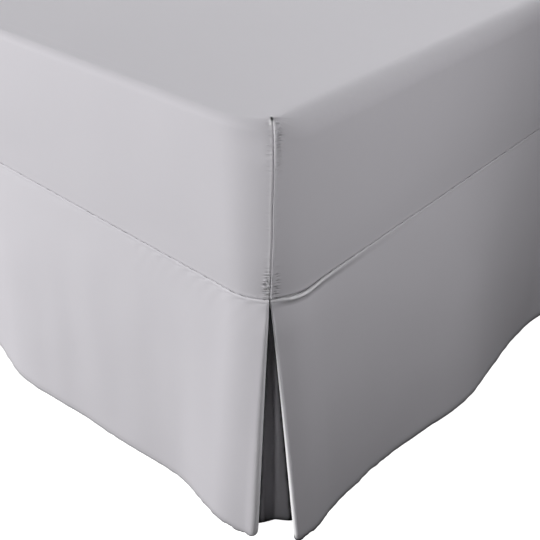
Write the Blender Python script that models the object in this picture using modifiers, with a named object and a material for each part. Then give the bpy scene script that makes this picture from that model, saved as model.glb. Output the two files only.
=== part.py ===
"""Bed skirt sewn to a fitted mattress cover, hanging round a plain mattress and bed base.

Metres, +Z up. The origin is on the floor under the bed's centre, the foot end faces -Y and the
head end +Y. The cover is one cloth over the mattress's top and sides, closed by a seam at each
corner. Four skirt panels hang from its lower edge. Each panel's ends fold back behind it, and a
pleat insert lies behind the folds at each corner, which makes an inverted pleat.
"""

import math

import bmesh
import bpy
from mathutils import Matrix, Vector

# Driving dimensions
MATTRESS_WIDTH = 1.520
MATTRESS_LENGTH = 2.030
WALL_HEIGHT = 0.225  # from the skirt seam up to the cover's top edge
SKIRT_DROP = 0.410  # the skirt's cut depth, from the seam to the hem
HEM_ABOVE_FLOOR = 0.005
CROWN = 0.010  # how far the mattress's middle stands above its edge

CORNER_RADIUS = 0.070  # the covered mattress's corner, seen from above
TOP_EDGE_RADIUS = 0.028
MATTRESS_BOTTOM_RADIUS = 0.012
SIDE_BULGE = 0.004
CORNER_SEAM_RIDGE = 0.0015

CLOTH = 0.0015
EASE = 0.002  # between the cloth and the mattress's edges
GAP = 0.0003  # between pieces that touch
CROWN_CLEAR = 0.0004  # between the cloth and the crown of the mattress

PLEAT_RETURN = 0.085  # how far a panel's end is folded back
TOP_FOLD_RADIUS = 0.0011
HEM_FOLD_FLATNESS = 0.6  # a pleat fold's depth at the hem, as a share of its radius
INSERT_REACH = 0.080  # how far an insert runs behind the panels, from the corner
INSERT_SETBACK = 0.028  # the insert's middle at the hem, in from the cover's sharp corner
INSERT_SEAM_CLEAR = 0.0008  # behind the panels' folded ends at the seam
INSERT_HEM_CLEAR = 0.006  # the same at the hem
INSERT_TURN = 0.60  # how gently the insert's hem turns the corner
INSERT_PLUMB = 1.6  # above 1, an insert hangs straight at first and flares lower down

BASE_INSET = 0.012
BASE_CORNER_RADIUS = 0.050
BASE_EDGE_RADIUS = 0.006
FOOT_HEIGHT = 0.045
FOOT_RADIUS = 0.028
FOOT_INSET = 0.110

# Worked out from them
SEAM_Z = HEM_ABOVE_FLOOR + SKIRT_DROP
HALF_WIDTH = MATTRESS_WIDTH / 2 + EASE + CLOTH  # to the outside of the cover
HALF_LENGTH = MATTRESS_LENGTH / 2 + EASE + CLOTH
STEP = 0.052  # between a panel's cross-section points, in metres
ARC_STEPS = 5  # the same round half a corner
FOLD_STEPS = 6  # round a pleat fold
INSERT_STEPS = 7  # along half an insert
ROWS = (0.0, 0.12, 0.38, 0.68, 1.0)  # shares of the drop

# The skirt's four sides, each turned a quarter from the one before. Every fold table lists the
# crests and troughs along the hem: how far along from the panel's first corner, and how far out
# from the cover's side the hem stands there.
SIDES = (
    {
        "name": "foot",
        "half": HALF_WIDTH,
        "out": HALF_LENGTH,
        "fold_radius": (0.006, 0.0125),
        "tip_short": (0.021, 0.025),
        "folds": (
            {"along": 0.030, "out": 0.032},
            {"along": 0.110, "out": 0.024},
            {"along": 0.270, "out": 0.037},
            {"along": 0.450, "out": 0.028},
            {"along": 0.640, "out": 0.044},
            {"along": 0.820, "out": 0.034},
            {"along": 0.960, "out": 0.052},
            {"along": 1.160, "out": 0.039},
            {"along": 1.260, "out": 0.029},
            {"along": 1.340, "out": 0.021},
            {"along": 1.440, "out": 0.031},
            {"along": 1.494, "out": 0.027},
        ),
    },
    {
        "name": "right",
        "half": HALF_LENGTH,
        "out": HALF_WIDTH,
        "fold_radius": (0.004, 0.009),
        "tip_short": (0.022, 0.023),
        "folds": (
            {"along": 0.024, "out": 0.037},
            {"along": 0.140, "out": 0.034},
            {"along": 0.225, "out": 0.038},
            {"along": 0.341, "out": 0.054},
            {"along": 0.440, "out": 0.0665},
            {"along": 0.640, "out": 0.048},
            {"along": 0.860, "out": 0.062},
            {"along": 1.060, "out": 0.041},
            {"along": 1.290, "out": 0.058},
            {"along": 1.500, "out": 0.037},
            {"along": 1.760, "out": 0.049},
            {"along": 1.920, "out": 0.028},
            {"along": 2.010, "out": 0.034},
        ),
    },
    {
        "name": "head",
        "half": HALF_WIDTH,
        "out": HALF_LENGTH,
        "fold_radius": (0.006, 0.010),
        "tip_short": (0.020, 0.024),
        "folds": (
            {"along": 0.030, "out": 0.030},
            {"along": 0.140, "out": 0.024},
            {"along": 0.350, "out": 0.046},
            {"along": 0.560, "out": 0.032},
            {"along": 0.780, "out": 0.052},
            {"along": 1.010, "out": 0.035},
            {"along": 1.230, "out": 0.043},
            {"along": 1.400, "out": 0.025},
            {"along": 1.500, "out": 0.030},
        ),
    },
    {
        "name": "left",
        "half": HALF_LENGTH,
        "out": HALF_WIDTH,
        "fold_radius": (0.005, 0.010),
        "tip_short": (0.020, 0.022),
        "folds": (
            {"along": 0.032, "out": 0.034},
            {"along": 0.150, "out": 0.027},
            {"along": 0.380, "out": 0.055},
            {"along": 0.600, "out": 0.039},
            {"along": 0.830, "out": 0.067},
            {"along": 1.050, "out": 0.046},
            {"along": 1.270, "out": 0.059},
            {"along": 1.480, "out": 0.036},
            {"along": 1.720, "out": 0.054},
            {"along": 1.900, "out": 0.030},
            {"along": 2.008, "out": 0.036},
        ),
    },
)


def remove_everything():
    for obj in list(bpy.data.objects):
        bpy.data.objects.remove(obj, do_unlink=True)


def material(name, colour, roughness):
    made = bpy.data.materials.new(name)
    made.use_nodes = True
    shader = made.node_tree.nodes["Principled BSDF"]
    shader.inputs["Base Color"].default_value = (*colour, 1.0)
    shader.inputs["Roughness"].default_value = roughness
    shader.inputs["Metallic"].default_value = 0.0
    return made


def add_object(name, bm, collection, finish):
    mesh = bpy.data.meshes.new(name)
    bm.to_mesh(mesh)
    bm.free()
    mesh.materials.append(finish)
    mesh.shade_smooth()
    mesh.set_sharp_from_angle(angle=math.radians(40))
    obj = bpy.data.objects.new(name, mesh)
    collection.objects.link(obj)
    return obj


def thicken(obj, offset):
    """Gives a sheet the cloth's thickness: offset -1 keeps its outer face, 0 its middle."""
    solidify = obj.modifiers.new("cloth_thickness", "SOLIDIFY")
    solidify.thickness = CLOTH
    solidify.offset = offset
    solidify.use_even_offset = True


# The mattress and the cloth stretched over it


def draw_walls(bm, bottom):
    """Draws walls down from the open rim of a flat sheet."""
    rim = [e for e in bm.edges if e.is_boundary]
    drawn = bmesh.ops.extrude_edge_only(bm, edges=rim)["geom"]
    for vert in (g for g in drawn if isinstance(g, bmesh.types.BMVert)):
        vert.co.z = bottom


def corner_uprights(bm, half_x, half_y):
    """The wall edges at the four corners of a box of these half sizes."""
    return [
        e
        for e in bm.edges
        if abs(e.verts[0].co.z - e.verts[1].co.z) > 0.01
        and abs(abs(e.verts[0].co.x) - half_x) < 1e-5
        and abs(abs(e.verts[0].co.y) - half_y) < 1e-5
    ]


def rim_edges(bm, facing):
    """The edges between the walls and the faces that look up (facing 1) or down (-1)."""
    bm.normal_update()
    return [
        e
        for e in bm.edges
        if len(e.link_faces) == 2 and sum(f.normal.z * facing > 0.9 for f in e.link_faces) == 1
    ]


def round_off(bm, edges, radius, segments):
    bmesh.ops.bevel(
        bm, geom=edges, offset=radius, segments=segments, profile=0.5, affect="EDGES", material=-1
    )


def cut_across(bm, height):
    bmesh.ops.bisect_plane(
        bm,
        geom=bm.verts[:] + bm.edges[:] + bm.faces[:],
        plane_co=(0, 0, height),
        plane_no=(0, 0, 1),
    )


def outward_from_wall(x, y, half_x, half_y, corner):
    """The plan direction in which the wall faces here, and whether a corner seam runs here."""
    past_x = abs(x) - (half_x - corner)
    past_y = abs(y) - (half_y - corner)
    if past_x > 0 and past_y > 0:
        outward = Vector((math.copysign(past_x, x), math.copysign(past_y, y), 0)).normalized()
        return outward, abs(past_x - past_y) < 1e-4
    if abs(x) / half_x > abs(y) / half_y:
        return Vector((math.copysign(1, x), 0, 0)), False
    return Vector((0, math.copysign(1, y), 0)), False


def soft_box(half_x, half_y, bottom, top, corner, edge, crown):
    """A crowned box with bulging walls and no bottom, ridged along its corner seams."""
    bm = bmesh.new()
    bmesh.ops.create_grid(bm, x_segments=8, y_segments=10, size=1.0)
    bmesh.ops.scale(bm, vec=(half_x, half_y, 1.0), verts=bm.verts)
    bmesh.ops.translate(bm, vec=(0, 0, top), verts=bm.verts)
    draw_walls(bm, bottom)
    round_off(bm, corner_uprights(bm, half_x, half_y), corner, 8)
    round_off(bm, rim_edges(bm, 1), edge, 4)
    wall_top = top - edge
    for share in (0.25, 0.5, 0.75):
        cut_across(bm, bottom + share * (wall_top - bottom))

    for vert in bm.verts:
        x, y, z = vert.co
        if z > wall_top + 0.5 * edge:
            across = max(0.0, 1 - (x / half_x) ** 2)
            lengthwise = max(0.0, 1 - (y / half_y) ** 2)
            vert.co.z += crown * across * lengthwise
        elif z <= wall_top + 1e-5:
            outward, on_seam = outward_from_wall(x, y, half_x, half_y, corner)
            height_share = (z - bottom) / (wall_top - bottom)
            vert.co += outward * SIDE_BULGE * math.sin(math.pi * height_share)
            if on_seam:
                vert.co += outward * CORNER_SEAM_RIDGE
    bmesh.ops.recalc_face_normals(bm, faces=bm.faces)
    return bm


def close_bottom(bm, edge):
    """Fills the open bottom and rounds its rim."""
    bmesh.ops.contextual_create(bm, geom=[e for e in bm.edges if e.is_boundary])
    round_off(bm, rim_edges(bm, -1), edge, 3)
    bmesh.ops.recalc_face_normals(bm, faces=bm.faces)


def add_cover(collection, finish):
    """The fitted cover: top and four walls, one cloth."""
    top = SEAM_Z + WALL_HEIGHT
    bm = soft_box(
        HALF_WIDTH, HALF_LENGTH, SEAM_Z, top, CORNER_RADIUS, TOP_EDGE_RADIUS, CROWN
    )
    thicken(add_object("fitted_cover", bm, collection, finish), -1)


def add_mattress(collection, finish):
    """A plain mattress that fills the cover: clear of its edges, and touching under the crown."""
    shrink = EASE + CLOTH
    bm = soft_box(
        HALF_WIDTH - shrink,
        HALF_LENGTH - shrink,
        SEAM_Z + GAP,
        SEAM_Z + WALL_HEIGHT - shrink,
        CORNER_RADIUS - shrink,
        TOP_EDGE_RADIUS - shrink,
        CROWN + EASE - CROWN_CLEAR,
    )
    close_bottom(bm, MATTRESS_BOTTOM_RADIUS)
    add_object("mattress", bm, collection, finish)


# The skirt


def side_frame(side_number):
    """(corner where the side starts, its direction, its outward normal), in plan."""
    side = SIDES[side_number]
    turn = Matrix.Rotation(math.radians(90 * side_number), 3, "Z")
    along = turn @ Vector((1, 0, 0))
    outward = turn @ Vector((0, -1, 0))
    return outward * side["out"] - along * side["half"], along, outward


def seam_point(side, distance, inset):
    """A point on the seam's rounded path: (along, out) from the side's first corner.

    distance is measured along the cloth from the middle of the first corner's round."""
    quarter = CORNER_RADIUS * math.pi / 4
    straight = 2 * (side["half"] - CORNER_RADIUS)
    radius = CORNER_RADIUS - inset
    if distance < quarter:
        angle = (quarter - distance) / CORNER_RADIUS
        along = CORNER_RADIUS - radius * math.sin(angle)
        return along, radius * math.cos(angle) - CORNER_RADIUS
    if distance > quarter + straight:
        angle = (distance - quarter - straight) / CORNER_RADIUS
        along = CORNER_RADIUS + straight + radius * math.sin(angle)
        return along, radius * math.cos(angle) - CORNER_RADIUS
    return CORNER_RADIUS + distance - quarter, -inset


def panel_width(side):
    """The flat width of a panel's face, between its two pleat folds."""
    return 2 * (side["half"] - CORNER_RADIUS) + CORNER_RADIUS * math.pi / 2


def hermite(start, start_slope, end, end_slope, share):
    """The smooth curve that leaves start and reaches end with these slopes, at this share."""
    s, s2, s3 = share, share**2, share**3
    return (
        start * (2 * s3 - 3 * s2 + 1)
        + start_slope * (s3 - 2 * s2 + s)
        + end * (3 * s2 - 2 * s3)
        + end_slope * (s3 - s2)
    )


def hem_slope(folds, number):
    """The hem's slope at a table entry, from its neighbours on both sides."""
    low = folds[max(0, number - 1)]
    high = folds[min(len(folds) - 1, number + 1)]
    return (high["out"] - low["out"]) / (high["along"] - low["along"])


def hem_out(side, along):
    """How far the hem stands out at this place, on a smooth curve through the table's entries."""
    folds = side["folds"]
    if along <= folds[0]["along"]:
        return folds[0]["out"]
    for number in range(1, len(folds)):
        low, high = folds[number - 1], folds[number]
        if along <= high["along"]:
            span = high["along"] - low["along"]
            slopes = (hem_slope(folds, number - 1) * span, hem_slope(folds, number) * span)
            share = (along - low["along"]) / span
            return hermite(low["out"], slopes[0], high["out"], slopes[1], share)
    return folds[-1]["out"]


def hem_point(side, share, inset):
    """A point on the hem: (along, out), share 0 to 1 from the first fold to the last."""
    first = side["tip_short"][0] + side["fold_radius"][0] * HEM_FOLD_FLATNESS
    last = 2 * side["half"] - side["tip_short"][1] - side["fold_radius"][1] * HEM_FOLD_FLATNESS
    along = first + share * (last - first)
    return along, hem_out(side, along) - inset


def face_stations(side):
    """Distances along a panel's face, closer together round the corners."""
    end_gap = TOP_FOLD_RADIUS + CLOTH / 2 + GAP
    quarter = CORNER_RADIUS * math.pi / 4
    width = panel_width(side)
    steps = round((width - 2 * quarter) / STEP)
    first = [end_gap + (quarter - end_gap) * i / ARC_STEPS for i in range(ARC_STEPS)]
    middle = [quarter + (width - 2 * quarter) * i / steps for i in range(steps + 1)]
    last = [width - distance for distance in reversed(first)]
    return first + middle + last


def fold_arc(start, end, flatness):
    """Points round a half turn whose two ends are given, bulging to the right of start-to-end."""
    centre = (start + end) / 2
    spoke = start - centre
    across = Vector((-spoke.y, spoke.x)) * flatness
    return [
        centre
        + spoke * math.cos(math.pi * i / FOLD_STEPS)
        - across * math.sin(math.pi * i / FOLD_STEPS)
        for i in range(1, FOLD_STEPS)
    ]


def returned_stations(side):
    """The stations folded back behind the first end, then those behind the last, edge first."""
    width = panel_width(side)
    stations = face_stations(side)
    first = [d for d in stations if d < PLEAT_RETURN]
    last = [d for d in stations if width - d < PLEAT_RETURN]
    return first[::-1], last[::-1]


def panel_edge(side, at_hem):
    """A panel's (along, out) points along its seam or its hem: return, fold, face, fold, return."""
    stations = face_stations(side)
    first, last = stations[0], stations[-1]
    radii = side["fold_radius"] if at_hem else (TOP_FOLD_RADIUS, TOP_FOLD_RADIUS)
    flatness = HEM_FOLD_FLATNESS if at_hem else 1.0

    def point(distance, inset):
        if at_hem:
            return Vector(hem_point(side, (distance - first) / (last - first), inset))
        return Vector(seam_point(side, distance, inset))

    face = [point(d, CLOTH / 2) for d in stations]
    first_return, last_return = (
        [point(d, CLOTH / 2 + 2 * radius) for d in returned]
        for returned, radius in zip(returned_stations(side), radii)
    )
    return (
        first_return
        + fold_arc(first_return[-1], face[0], flatness)
        + face
        + fold_arc(face[-1], last_return[0], flatness)
        + last_return
    )


def loft(sections):
    """A sheet from rows of 3-D points, all of the same count."""
    bm = bmesh.new()
    rows = [[bm.verts.new(p) for p in section] for section in sections]
    for upper, lower in zip(rows, rows[1:]):
        for i in range(len(upper) - 1):
            bm.faces.new((upper[i], lower[i], lower[i + 1], upper[i + 1]))
    return bm


def hang(top, hem, share, flare):
    """A point of the cloth between its seam and its hem, which rises where it swings out."""
    swing = hem - top
    height = SEAM_Z - GAP - share * math.sqrt((SKIRT_DROP - GAP) ** 2 - swing.length_squared)
    place = top + swing * flare
    return Vector((place.x, place.y, height))


def add_panel(side_number, collection, finish):
    side = SIDES[side_number]
    corner, along, outward = side_frame(side_number)
    seam, hem = (
        [corner + along * p.x + outward * p.y for p in panel_edge(side, at_hem)]
        for at_hem in (False, True)
    )
    sections = [[hang(s, h, share, share) for s, h in zip(seam, hem)] for share in ROWS]
    thicken(add_object("skirt_" + side["name"], loft(sections), collection, finish), 0)


def insert_seam(before, after):
    """A pleat insert's plan points along the seam, behind both panels' folded ends."""
    inset = CLOTH / 2 + 2 * TOP_FOLD_RADIUS + CLOTH + INSERT_SEAM_CLEAR
    points = []
    for number, from_start in ((before, False), (after, True)):
        side = SIDES[number]
        corner, along, outward = side_frame(number)
        shares = [i / INSERT_STEPS for i in range(INSERT_STEPS + from_start)]
        for share in shares:
            distance = INSERT_REACH * share
            if not from_start:
                distance = panel_width(side) - INSERT_REACH * (1 - share)
            a, out = seam_point(side, distance, inset)
            points.append(corner + along * a + outward * out)
    return points


def insert_hem(before, after):
    """A pleat insert's plan points along its hem: a smooth turn across the open corner."""
    side_a, side_b = SIDES[before], SIDES[after]
    along_a, outward_a = side_frame(before)[1:]
    corner, along_b, outward_b = side_frame(after)
    reach = INSERT_REACH + CORNER_RADIUS * (1 - math.pi / 4)
    out_a = hem_out(side_a, 2 * side_a["half"] - reach)
    out_a -= 2 * side_a["fold_radius"][1] + INSERT_HEM_CLEAR
    out_b = hem_out(side_b, reach) - 2 * side_b["fold_radius"][0] - INSERT_HEM_CLEAR
    start = corner - along_a * reach + outward_a * out_a
    middle = corner - (outward_a + outward_b).normalized() * INSERT_SETBACK
    end = corner + along_b * reach + outward_b * out_b
    turn = INSERT_TURN * reach
    across = (along_a + along_b).normalized() * turn
    shares = [i / INSERT_STEPS for i in range(INSERT_STEPS + 1)]
    first_half = [hermite(start, along_a * turn, middle, across, share) for share in shares[:-1]]
    second_half = [hermite(middle, across, end, along_b * turn, share) for share in shares]
    return first_half + second_half


def add_insert(before, after, collection, finish):
    edges = list(zip(insert_seam(before, after), insert_hem(before, after)))
    sections = [[hang(t, h, share, share**INSERT_PLUMB) for t, h in edges] for share in ROWS]
    name = f"pleat_{SIDES[before]['name']}_{SIDES[after]['name']}"
    thicken(add_object(name, loft(sections), collection, finish), 0)


# What the cloth hangs on


def add_base(collection, finish):
    """A plain divan base, standing in from the mattress's edge."""
    half_x = MATTRESS_WIDTH / 2 - BASE_INSET
    half_y = MATTRESS_LENGTH / 2 - BASE_INSET
    height = SEAM_Z - FOOT_HEIGHT
    bm = bmesh.new()
    bmesh.ops.create_cube(bm, size=2.0)
    bmesh.ops.scale(bm, vec=(half_x, half_y, height / 2), verts=bm.verts)
    bmesh.ops.translate(bm, vec=(0, 0, FOOT_HEIGHT + height / 2), verts=bm.verts)
    round_off(bm, corner_uprights(bm, half_x, half_y), BASE_CORNER_RADIUS, 6)
    round_off(bm, rim_edges(bm, 1) + rim_edges(bm, -1), BASE_EDGE_RADIUS, 2)
    add_object("bed_base", bm, collection, finish)


def add_feet(collection, finish):
    """Six round glides under the base."""
    x = MATTRESS_WIDTH / 2 - FOOT_INSET
    y = MATTRESS_LENGTH / 2 - FOOT_INSET
    height = FOOT_HEIGHT - GAP
    for row, place_y in enumerate((-y, 0.0, y)):
        for column, place_x in enumerate((-x, x)):
            bm = bmesh.new()
            bmesh.ops.create_cone(
                bm,
                cap_ends=True,
                segments=24,
                radius1=FOOT_RADIUS * 0.85,
                radius2=FOOT_RADIUS,
                depth=height,
            )
            obj = add_object(f"glide_{row}_{column}", bm, collection, finish)
            obj.location = (place_x, place_y, height / 2)


def main():
    remove_everything()
    collection = bpy.data.collections.new("bed_skirt")
    bpy.context.scene.collection.children.link(collection)
    cloth = material("grey_microfibre", (0.60, 0.59, 0.62), 0.85)
    ticking = material("mattress_ticking", (0.86, 0.85, 0.82), 0.9)
    upholstery = material("base_upholstery", (0.42, 0.41, 0.42), 0.9)
    plastic = material("glide_plastic", (0.05, 0.05, 0.055), 0.5)

    add_cover(collection, cloth)
    add_mattress(collection, ticking)
    for number in range(len(SIDES)):
        add_panel(number, collection, cloth)
        add_insert(number, (number + 1) % len(SIDES), collection, cloth)
    add_base(collection, upholstery)
    add_feet(collection, plastic)


main()
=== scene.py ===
# %% [markdown]
# # A bed skirt sewn to a fitted cover
#
# This lesson dresses a bed skirt. On the real bed, one cloth is stretched over the mattress's top
# and sides and closed by a seam at each corner. Four flat skirt panels hang from its lower edge,
# and an inverted pleat opens at each corner, with a spare strip of cloth, the insert, behind it.
# The frame holds the finished sizes, so every measure below starts from its boxes.

# %% Load the frame
import math

import bmesh
import bpy
from mathutils import Matrix, Vector, noise


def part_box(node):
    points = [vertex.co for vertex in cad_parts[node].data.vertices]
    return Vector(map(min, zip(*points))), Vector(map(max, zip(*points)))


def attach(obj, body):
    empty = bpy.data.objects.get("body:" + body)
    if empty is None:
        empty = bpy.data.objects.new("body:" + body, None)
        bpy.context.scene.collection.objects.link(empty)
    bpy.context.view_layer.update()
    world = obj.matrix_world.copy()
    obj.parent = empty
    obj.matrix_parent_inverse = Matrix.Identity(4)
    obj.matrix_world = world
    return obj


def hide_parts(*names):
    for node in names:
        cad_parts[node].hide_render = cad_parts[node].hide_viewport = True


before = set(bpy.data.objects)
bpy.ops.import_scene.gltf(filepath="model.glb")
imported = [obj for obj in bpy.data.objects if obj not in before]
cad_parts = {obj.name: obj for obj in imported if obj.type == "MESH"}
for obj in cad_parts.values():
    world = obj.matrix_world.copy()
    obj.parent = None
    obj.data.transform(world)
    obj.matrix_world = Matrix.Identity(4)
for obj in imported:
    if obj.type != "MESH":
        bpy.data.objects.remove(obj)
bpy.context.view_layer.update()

# %% [markdown]
# ## Sizes
#
# The cover's box gives its half width and half length once the small outward bulge of its sides
# is taken off. Its lowest edge is the seam that carries the skirt. The rest are a maker's sizes:
# how round the mattress's corners are, how thick the cloth is, and how far the pleats fold back.

# %% Sizes from the frame
SIDE_BULGE = 0.004
CROWN = 0.010
cover_low, cover_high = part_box("fitted_cover")
HALF_WIDTH = cover_high[0] - SIDE_BULGE
HALF_LENGTH = cover_high[1] - SIDE_BULGE
SEAM_Z = cover_low[2]
EDGE_Z = cover_high[2] - CROWN  # the cover's top, along its edges
HEM_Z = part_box("pleat_foot_right")[0][2]
DROP = SEAM_Z - HEM_Z
print(f"cover {2 * HALF_WIDTH:.3f} x {2 * HALF_LENGTH:.3f} m, skirt {DROP:.3f} m")

# %% A maker's sizes
CORNER_RADIUS = 0.070
EDGE_RADIUS = 0.028  # over the long sides, where the cloth is slack
TIGHT_EDGE_RADIUS = 0.010  # over the foot and the head, where it is pulled tight
CLOTH = 0.0012
SOLID_CLOTH = 0.0015  # the thickness that the frame's solids have
SEAM_GAP = 0.0003
PLEAT_RETURN = 0.085
TOP_FOLD_RADIUS = 0.0011
FOLD_LENGTH = 1.15  # how far a fold runs on, for each unit of its half depth
HEM_DEPTH = 0.009
DART_TIP = 0.0175  # how far the corner seam stops below the flat top, along the cloth
QUARTER = CORNER_RADIUS * math.pi / 4  # along half a rounded corner
print(f"half a corner is {1000 * QUARTER:.0f} mm of cloth")

# %% [markdown]
# ## The camera
#
# A camera is a point, a direction and a lens. It looks down at the corner where the foot end and
# the right side meet. Its place is measured from the sharp corner that the two walls would make
# at the skirt's seam, so it stays right if the bed's size changes.

# %% Camera
def new_object(name, data):
    """Makes an object of this data and links it to the scene."""
    made = bpy.data.objects.new(name, data)
    bpy.context.scene.collection.objects.link(made)
    return made


CORNER = Vector((HALF_WIDTH, -HALF_LENGTH, SEAM_Z))
CAMERA_FROM_CORNER = Vector((0.4752, -0.5139, 0.5476))
CAMERA_AZIMUTH = math.radians(42.754)
CAMERA_ELEVATION = math.radians(34.824)
CAMERA_ROLL = math.radians(-0.669)
camera_data = bpy.data.cameras.new("camera")
camera_data.sensor_width = 36.0
camera_data.lens = 51.07
camera_data.clip_start = 0.01
camera = bpy.context.scene.camera = new_object("camera", camera_data)
level = math.cos(CAMERA_ELEVATION)
back = Vector((math.sin(CAMERA_AZIMUTH) * level, -math.cos(CAMERA_AZIMUTH) * level,
               math.sin(CAMERA_ELEVATION)))
camera.location = CORNER + CAMERA_FROM_CORNER
turn = (-back).to_track_quat("-Z", "Y")
camera.rotation_mode = "QUATERNION"
camera.rotation_quaternion = turn @ Matrix.Rotation(CAMERA_ROLL, 3, "Z").to_quaternion()
print("camera at", tuple(round(c, 3) for c in camera.location))

# %% [markdown]
# ## Node helpers
#
# The sky and every material are small graphs of nodes. The "add" helpers add one node and fill
# its sockets in one line: a socket gets a number, a colour, or a link from another node's output.
# A new material starts with the plain values of its shader, and "dress" gives it its finished
# colour and relief.

# %% Node helpers
def fill(tree, socket, value):
    if isinstance(value, bpy.types.NodeSocket):
        tree.links.new(value, socket)
    else:
        socket.default_value = (*value, 1.0) if socket.type == "RGBA" else value


def add_node(tree, kind, output, settings=(), **sockets):
    """Adds a node, fills the sockets that are named (A_B for "A B") and gives one output."""
    made = tree.nodes.new("ShaderNode" + kind)
    for name, value in settings:
        setattr(made, name, value)
    for name, value in sockets.items():
        fill(tree, made.inputs[name.replace("_", " ")], value)
    return made.outputs[output]


def add_noise(tree, source, scale, detail=2.0, roughness=0.5):
    return add_node(tree, "TexNoise", "Fac", Vector=source, Scale=scale, Detail=detail,
                    Roughness=roughness)


def add_wave(tree, source, scale, direction, distortion):
    return add_node(tree, "TexWave", "Fac", [("bands_direction", direction)], Vector=source,
                    Scale=scale, Distortion=distortion, Detail=1.0, Detail_Scale=0.6)


def add_math(tree, operation, first, second):
    made = tree.nodes.new("ShaderNodeMath")
    made.operation = operation
    for socket, value in zip(made.inputs, (first, second)):
        fill(tree, socket, value)
    return made.outputs[0]


def add_mix(tree, factor, first, second):
    made = tree.nodes.new("ShaderNodeMix")
    made.data_type = "RGBA"
    for number, value in ((0, factor), (6, first), (7, second)):
        fill(tree, made.inputs[number], value)
    return made.outputs[2]


def add_bump(tree, height, distance, strength, **below):
    return add_node(tree, "Bump", "Normal", Height=height, Distance=distance, Strength=strength,
                    **below)


def new_material(name, **values):
    """A material with its node tree and its shader, which gets these plain values."""
    made = bpy.data.materials.new(name)
    made.use_nodes = True
    shader = made.node_tree.nodes["Principled BSDF"]
    for socket, value in values.items():
        fill(made.node_tree, shader.inputs[socket.replace("_", " ")], value)
    return made, made.node_tree, shader


def dress(tree, shader, colour, normal):
    fill(tree, shader.inputs["Base Color"], colour)
    fill(tree, shader.inputs["Normal"], normal)


print("helpers ready")

# %% [markdown]
# ## Studio light
#
# The light is soft and comes from the left, low down, so the foot end is bright and the right
# side is in half shade. A faint light from the front reaches into the open pleat. Another soft
# light hangs beside the right side. It is close, so it fades down the skirt. The floor is pale
# and plain. It doesn't throw light back at the cloth, as in a studio where the bed stands clear
# of everything.

# %% Lights
def soft_light(name, from_corner, aim, width, height, watts, colour):
    """A rectangular light. Its place and its aim are measured from the corner."""
    data = bpy.data.lights.new(name, "AREA")
    data.shape = "RECTANGLE"
    data.size, data.size_y = width, height
    data.energy = watts
    data.color = colour
    light = new_object(name, data)
    light.location = CORNER + Vector(from_corner)
    light.rotation_mode = "QUATERNION"
    light.rotation_quaternion = (Vector(aim) - Vector(from_corner)).to_track_quat("-Z", "Y")
    light.visible_camera = False


soft_light("key", (-3.29, -4.70, 1.75), (0, 0, 0), 2.4, 2.4, 414, (1.0, 0.992, 0.994))
soft_light("front", (0.25, -3.20, 1.10), (0, 0, 0), 0.4, 1.4, 12.5, (1.0, 0.992, 0.994))
soft_light("side", (0.86, 0.27, 0.40), (0, 0.22, 0.02), 0.30, 0.5, 5.0, (1.0, 0.99, 1.0))
soft_light("behind", (-1.5, 3.3, 2.8), (-0.5, 0.8, 0.2), 3.5, 3.5, 150, (0.99, 0.992, 1.0))
print("lights:", [light.name for light in bpy.data.lights])

# %% Sky
SKY_STRENGTH = 0.05
GROUND_STRENGTH = 0.01
BACKDROP_STRENGTH = 1.0
world = bpy.data.worlds.new("studio")
bpy.context.scene.world = world
world.use_nodes = True
sky = world.node_tree
upwards = add_node(sky, "SeparateXYZ", "Z", Vector=add_node(sky, "TexCoord", "Generated"))
glow = add_node(sky, "MapRange", 0, Value=upwards, From_Min=-0.25, From_Max=0.35,
                To_Min=GROUND_STRENGTH, To_Max=SKY_STRENGTH)
backdrop = add_node(sky, "LightPath", "Is Camera Ray")
glow = add_node(sky, "Mix", 0, Factor=backdrop, A=glow, B=BACKDROP_STRENGTH)
fill(sky, sky.nodes["Background"].inputs["Strength"], glow)
bpy.context.scene.view_settings.view_transform = "Standard"
print("sky strength", SKY_STRENGTH)

# %% Floor
FLOOR_REACH = 20.0
bm = bmesh.new()
bmesh.ops.create_grid(bm, x_segments=1, y_segments=1, size=FLOOR_REACH)
floor_mesh = bpy.data.meshes.new("floor")
bm.to_mesh(floor_mesh)
bm.free()
floor = new_object("floor", floor_mesh)
floor.location.z = -0.001  # just under the glides
floor.visible_diffuse = False
floor.visible_glossy = False
floor_mesh.materials.append(new_material("pale_floor", Base_Color=(0.8, 0.8, 0.8), Roughness=1.0,
                                         Emission_Color=(1, 1, 1), Emission_Strength=1.0)[0])
print("floor is", 2 * FLOOR_REACH, "m across")

# %% [markdown]
# ## Brushed microfibre
#
# The cloth is a plain-woven, brushed microfibre in a cool light grey. Its threads are far finer
# than a millimetre, so close up it has a faint grid, and from a step away it looks smooth with a
# soft bloom. Thread direction follows the cloth, so the weave reads the piece's own UV map, which
# is laid out in metres. Broad, faint mottling keeps large flat areas from looking like paint.
# Painted highlights make fold edges and seam ridges paler than the cloth, and painted shade makes
# seam lines, hems and the cloth behind the pleat folds nearly black, where shade falls. Each piece
# says where that is in two attributes of its own.

# %% Cloth material
THREADS_PER_METRE = 2200
CLOTH_COLOUR = (0.578, 0.567, 0.598)
CLOTH_SHADE = (0.556, 0.545, 0.577)
# painted highlight for fold edges and seam ridges, and painted shade for where shade falls
PAINTED_HIGHLIGHT_COLOUR = (0.96, 0.96, 0.97)
PAINTED_SHADE_COLOUR = (0.02, 0.02, 0.022)


def attribute(tree, name):
    return add_node(tree, "Attribute", "Fac", [("attribute_name", name)])


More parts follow.
